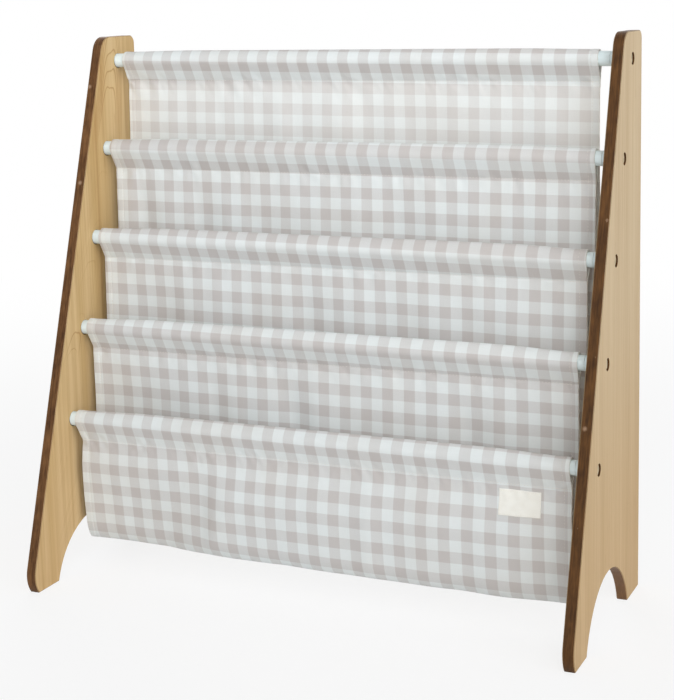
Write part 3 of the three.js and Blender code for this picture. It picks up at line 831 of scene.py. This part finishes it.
def makeGingham():
    # woven checks: columns and rows of dark thread on light, slubs, clouds and light through the top wall
    shader = Shader("gingham_cotton")
    turns = shader.place(source="cloth", scale=(1 / cloth["check"], 1 / cloth["check"], 1))
    u, v, _ = shader.split(turns)
    uneven = shader.noise(shader.place(), 90.0) - 0.5
    # a stripe is dark where cos(2 pi t) is above zero, with an edge about a thread wide
    columns, rows = [((t * 2 * math.pi + uneven * 0.05).math("COSINE") * 7 + 0.5).held() for t in (u, v)]
    threads = cloth["check"] / (0.55 * mm)
    over = (u * threads * math.pi).math("SINE") * (v * threads * math.pi).math("SINE")
    woven = (over * 2 + 0.5).held()
    # at a crossing either the upright or the level thread shows, so half the tone comes from each
    share = (columns * 0.5 + rows * 0.5) + (woven - 0.5) * (columns - rows) * 0.22
    base = shader.mix(share.held(), cloth["light"], cloth["dark"])
    cloud = shader.noise(shader.place(), 14.0)
    base = shader.mix(cloud.smooth(0.35, 0.70) * 0.28, base, cloth["warm"], "MULTIPLY")
    through = cloth["through"]
    _, y, z = shader.split(shader.place())
    lit = z.smooth(*through["low"]) * (1 - z.smooth(*through["high"])) * y.smooth(*through["front"])
    base = shader.mix(lit * through["share"], base, through["colour"])
    down, across = [shader.stretched(scale, source="cloth") for scale in ((1500, 90, 1), (90, 1500, 1))]
    base = shader.mix((down * 0.5 + across * 0.5 - 0.35).held() * 0.32, base, cloth["slub"], "MULTIPLY")
    height = over * 0.5 + down * 0.35 + across * 0.35
    plain = {"Sheen Weight": 0.08, "Specular IOR Level": 0.25}
    return shader.finish(base, 0.86, height, 0.16, 0.25 * mm, plain)


def makeThread(name, tint):
    # spun thread: a fine uneven ply, darker where the ply noise is high
    shader = Shader(name)
    ply = shader.noise(shader.place(), 2600.0, 1.0)
    base = shader.mix(ply.smooth(0.3, 0.7) * 0.6, tint, [int(c * 0.86) for c in tint])
    return shader.finish(base, 0.7, ply, 0.2, 0.1 * mm)


gingham = makeGingham()
stitch = {
    "long": 2.7 * mm, "gap": 0.9 * mm, "thick": 0.42 * mm, "sides": 6, "rings": 5, "hump": 0.55, "sunk": 0.30,
    # the second run at both ends: how many stitches, and its shift along, down and outwards
    "tackFirst": 4, "tackLast": 5, "tackShift": 0.45, "tackDown": 0.5 * mm, "tackOut": 0.26 * mm,
    "tint": (226, 222, 212),
}
thread = makeThread("cream_thread", stitch["tint"])


def stitches(start, end, up):
    # spindles: centre line from start to end with a low hump along up, radius closing to a point at both ends
    along = end - start
    ahead = unit(along)
    side = unit(np.cross(ahead, up))
    up = np.cross(side, ahead)
    count, rings, sides, thick = len(start), stitch["rings"], stitch["sides"], stitch["thick"]
    t = np.linspace(0, 1, rings + 2)[1:-1]
    a = roundAngles(sides)
    radius = thick / 2 * np.sqrt(np.sin(math.pi * t))
    rise = thick * (stitch["hump"] * np.sin(math.pi * t) - stitch["sunk"])
    centre = start[:, None] + along[:, None] * t[:, None] + up[:, None] * rise[:, None]
    ring = side[:, None, None] * np.cos(a)[:, None] + up[:, None, None] * np.sin(a)[:, None]
    body = centre[:, :, None] + ring * radius[:, None, None]
    tips = np.stack([point - up * thick * stitch["sunk"] for point in (start, end)], 1)
    points = np.concatenate([body.reshape(count, -1, 3), tips], 1)
    shift = (np.arange(count) * points.shape[1])[:, None, None]
    quads, fans = gridQuads(rings, sides, wrap=True) + shift, endFans(rings, sides) + shift
    return points.reshape(-1, 3), quads.reshape(-1, 4), fans.reshape(-1, 3)


def joined(parts):
    # several sets of points, quads and triangles as one
    points, quads, fans, shift = [], [], [], 0
    for p, q, f in parts:
        points.append(p)
        quads.append(q + shift)
        fans.append(f + shift)
        shift += len(p)
    return np.concatenate(points), np.concatenate(quads), np.concatenate(fans)


def upAt(panel, s, x, facing):
    # the surface's normal from two short steps on it, on the side that facing says
    step = 0.2 * mm
    along = panel.at(s, x + step) - panel.at(s, x - step)
    down = panel.at(s + step, x) - panel.at(s - step, x)
    normal = unit(np.cross(along, down))
    outY, outZ = pointAt(s, panel.s, panel.out)
    sign = np.sign(normal[:, 1] * outY + normal[:, 2] * outZ) * facing
    return normal * sign[:, None]


def sewnRow(panel, s, x, down, aside, lift, facing):
    # stitches on a panel, each from (s, x) to (s + down, x + aside)
    start, end = panel.at(s, x, lift), panel.at(s + down, x + aside, lift)
    return stitches(start, end, upAt(panel, s, x, facing))


def seamStitches(panel, seam, facing):
    # a level row of stitches across the panel, lying in the dip they pull
    lift = facing * (cloth["thick"] / 2 - cloth["dip"])
    left, right = panel.edges(np.array(seam))
    pitch = stitch["long"] + stitch["gap"]
    x = np.arange(left + 1.5 * mm, right - 1.5 * mm - pitch, pitch)
    # sewn back and forth at both ends, so that a second run lies on the first there
    tack = np.concatenate([x[:stitch["tackFirst"]], x[-stitch["tackLast"]:]]) + pitch * stitch["tackShift"]
    second = np.arange(len(x) + len(tack)) >= len(x)
    s = seam + stitch["tackDown"] * second
    raised = lift + facing * stitch["tackOut"] * second
    return sewnRow(panel, s, np.concatenate([x, tack]), 0, stitch["long"], raised, facing)


def sideStitches(panel, side, facing):
    # a row of stitches down the panel's side
    lift = facing * (cloth["thick"] / 2 - cloth["dip"])
    s = np.arange(2 * mm, panel.length - 5 * mm, stitch["long"] + stitch["gap"])
    x = panel.edges(s)[side] + cloth["stitchInset"] * (1 if side == 0 else -1)
    down = stitch["long"]
    return stitches(panel.at(s, x, lift), panel.at(s + down, x, lift), upAt(panel, s, x, facing))


panels = [Panel(j) for j in range(4)]
columns = panelColumns()
for j, panel in enumerate(panels):
    s = panel.rows()
    left, right = panel.edges(s)
    along = s[:, None] + 0 * columns[None, :, 0]
    x = left[:, None] * columns[:, 0] + right[:, None] * columns[:, 1] + columns[:, 2]
    points = panel.at(along, x, panel.half(along, columns[:, 3]) * columns[:, 4])
    quads, fans = tipFaces(len(s), len(columns))
    quads = np.concatenate([gridQuads(len(s), len(columns), wrap=True), quads])
    uv = panel.checkMap(along, x)
    piece = addPiece("pocket_cloth_%d" % (j + 1), points, quads, gingham, triangles=fans, uv=uv)
    nodes = ["cloth_sleeve_%d" % (j + 1), "cloth_sling_%d" % (j + 1)] + (["cloth_sleeve_5"] if j == 3 else [])
    finishPiece(piece, "cloth", *nodes)
    sewn = [seamStitches(panel, panel.rearSeam, 1), seamStitches(panel, panel.seam, 1)]
    if j == 3:
        sewn += [seamStitches(panel, panel.frontSeam, -1), seamStitches(panel, panel.lastSeam, -1)]
    sewn += [sideStitches(panel, side, facing) for side in (0, 1) for facing in (1, -1)]
    points, quads, fans = joined(sewn)
    sewing = addPiece("pocket_stitching_%d" % (j + 1), points, quads, thread, triangles=fans)
    finishPiece(sewing, "cloth")


# The label on the lowest pocket

label = {
    "right": 254.0 * mm, "width": 44.5 * mm, "top": 149.6 * mm, "height": 26.5 * mm, "thick": 0.5 * mm,
    "tilt": 0.004, "inset": 1.8 * mm, "stitch": 1.6 * mm, "pitch": 2.4 * mm, "columns": 60, "rows": 38,
    "light": (241, 240, 233), "dark": (234, 232, 223), "thread": (240, 237, 224),
}


def makeLabelCotton():
    # a plain fine weave with soft clouds
    shader = Shader("label_cotton")
    u, v, _ = shader.split(shader.place(source="cloth"))
    threads = 2 * math.pi / (0.5 * mm)
    over = (u * threads).math("SINE") * (v * threads).math("SINE")
    cloud = shader.noise(shader.place(), 120.0, 3.0)
    base = shader.mix(cloud.smooth(0.3, 0.7) * 0.6, label["light"], label["dark"])
    return shader.finish(base, 0.85, over * 0.5 + cloud * 0.3, 0.15, 0.2 * mm)


lowest = panels[3]
lift = -((cloth["thick"] + label["thick"]) / 2 + 0.05 * mm)
left, inset, short, pitch = label["right"] - label["width"], label["inset"], label["stitch"], label["pitch"]


def frontPlace(height):
    # place along the lowest panel where its front wall is at this height
    rising = (lowest.s > lowest.nose + 5 * mm) & (lowest.s <= lowest.frontSeam)
    return np.interp(height, lowest.line[rising][:, 1], lowest.s[rising])


across, down = np.meshgrid(np.linspace(0, 1, label["columns"]), np.linspace(0, 1, label["rows"]))
tagX = label["right"] - label["width"] * (1 - across)
tagS = frontPlace(label["top"] - label["height"] * down - label["tilt"] * (tagX - label["right"]))
tagQuads = gridQuads(label["rows"], label["columns"])
tagPoints, tagMap = lowest.at(tagS, tagX, lift), np.stack([tagX, tagS], -1)
tag = addPiece("pocket_label", tagPoints, tagQuads, makeLabelCotton(), uv=tagMap, closed=False)
solid = tag.modifiers.new("thickness", "SOLIDIFY")
solid.thickness = label["thick"]
solid.offset = 0
finishPiece(tag, "label", "cloth_label")
tagSewn = []
edgeLift = lift - label["thick"] / 2
for level in (inset, label["height"] - inset):
    x = np.arange(left + inset, label["right"] - inset - short, pitch)
    s = frontPlace(label["top"] - level + 0 * x)
    tagSewn.append(sewnRow(lowest, s, x, 0, short, edgeLift, -1))
for x in (left + inset, label["right"] - inset):
    s = frontPlace(np.arange(label["top"] - label["height"] + inset, label["top"] - inset - short, pitch))
    tagSewn.append(sewnRow(lowest, s, x + 0 * s, short, 0, edgeLift, -1))
points, quads, fans = joined(tagSewn)
tagThread = makeThread("label_thread", label["thread"])
tagSewing = addPiece("label_stitching", points, quads, tagThread, triangles=fans)
finishPiece(tagSewing, "label")
print("label made")


# Floor, light and camera

stage = {
    "floorSize": 16.0, "floorWhite": 0.80, "fade": (0.7, 2.2), "sky": 0.46,
    "key": {"place": (0.95, -2.25, 1.55), "aim": (0, 0, 0.92), "width": 1.5, "power": 6.4, "spread": 60},
    "fill": {"place": (2.3, -1.4, 1.4), "aim": (0, 0, 0.3), "width": 2.8, "power": 31.0, "spread": 180},
    "rear": {"place": (-1.4, 2.4, 1.5), "aim": (0, 0, 0.3), "width": 1.8, "power": 24.0, "spread": 180},
}


def whiteShare(shader):
    # 1 for rays that see a white studio, from the camera, a glossy surface or a clear one, else 0
    path = shader.add("ShaderNodeLightPath", out="Is Camera Ray")
    outs = path.socket.node.outputs
    return (path + Wire(shader, outs["Is Glossy Ray"]) + Wire(shader, outs["Is Transmission Ray"])).held()


def makeFloor():
    # whiter the further from the object, so that no horizon shows
    shader = Shader("white_floor")
    x, y, _ = shader.split(shader.place())
    far = (x * x + y * y).math("SQRT").smooth(*stage["fade"])
    white = far * (1 - stage["floorWhite"]) + stage["floorWhite"]
    plain = shader.add("ShaderNodeBsdfDiffuse", {}, {"Color": (0.9, 0.9, 0.9, 1)})
    glow = shader.add("ShaderNodeEmission", {}, {"Color": (1, 1, 1, 1), "Strength": 1.0})
    both = shader.add("ShaderNodeMixShader", {}, {0: whiteShare(shader) * white, 1: plain, 2: glow})
    shader.add("ShaderNodeOutputMaterial", {}, {"Surface": both})
    return shader.material


size = stage["floorSize"] / 2
corners = np.array([[-size, -size, 0], [size, -size, 0], [size, size, 0], [-size, size, 0]])
floor = addPiece("floor", corners, np.array([[0, 1, 2, 3]]), makeFloor(), closed=False, smooth=False)

sky = Shader("studio", "worlds")
bpy.context.scene.world = sky.material
dim = sky.add("ShaderNodeBackground", {}, {"Color": (0.97, 0.985, 1.0, 1), "Strength": stage["sky"]})
white = sky.add("ShaderNodeBackground", {}, {"Color": (1, 1, 1, 1), "Strength": 1.0})
both = sky.add("ShaderNodeMixShader", {}, {0: whiteShare(sky), 1: dim, 2: white})
sky.add("ShaderNodeOutputWorld", {}, {"Surface": both})


for name in ("key", "fill", "rear"):
    # a square lamp that looks at its aim
    settings = stage[name]
    lamp = bpy.data.lights.new(name, "AREA")
    lamp.shape = "SQUARE"
    lamp.size = settings["width"]
    lamp.energy = settings["power"]
    lamp.spread = math.radians(settings["spread"])
    lampObject = bpy.data.objects.new(name, lamp)
    bpy.context.scene.collection.objects.link(lampObject)
    lampObject.location = settings["place"]
    aim = Vector(settings["aim"]) - Vector(settings["place"])
    lampObject.rotation_euler = aim.to_track_quat("-Z", "Y").to_euler()


# the focal length and the shift are in the photograph's pixels, whose longer side is the frame
camera = {
    "place": (0.72296, -1.59159, 0.65999), "yaw": -0.41793, "pitch": 0.15779, "roll": -0.02262,
    "focal": 1644.674, "shift": -100.0, "frame": 700, "sensor": 36,
}
lens = bpy.data.cameras.new("camera")
lens.sensor_width = camera["sensor"]
lens.lens = camera["sensor"] * camera["focal"] / camera["frame"]
lens.shift_y = camera["shift"] / camera["frame"]
eye = bpy.data.objects.new("camera", lens)
bpy.context.scene.collection.objects.link(eye)
turns = ((-camera["yaw"], "Z"), (math.pi / 2 - camera["pitch"], "X"), (camera["roll"], "Z"))
yaw, pitch, roll = (Matrix.Rotation(angle, 4, axis) for angle, axis in turns)
eye.matrix_world = Matrix.Translation(camera["place"]) @ (yaw @ pitch @ roll)
bpy.context.scene.camera = eye
bpy.context.scene.view_settings.view_transform = "Standard"

bpy.context.view_layer.update()
print("scene finished")
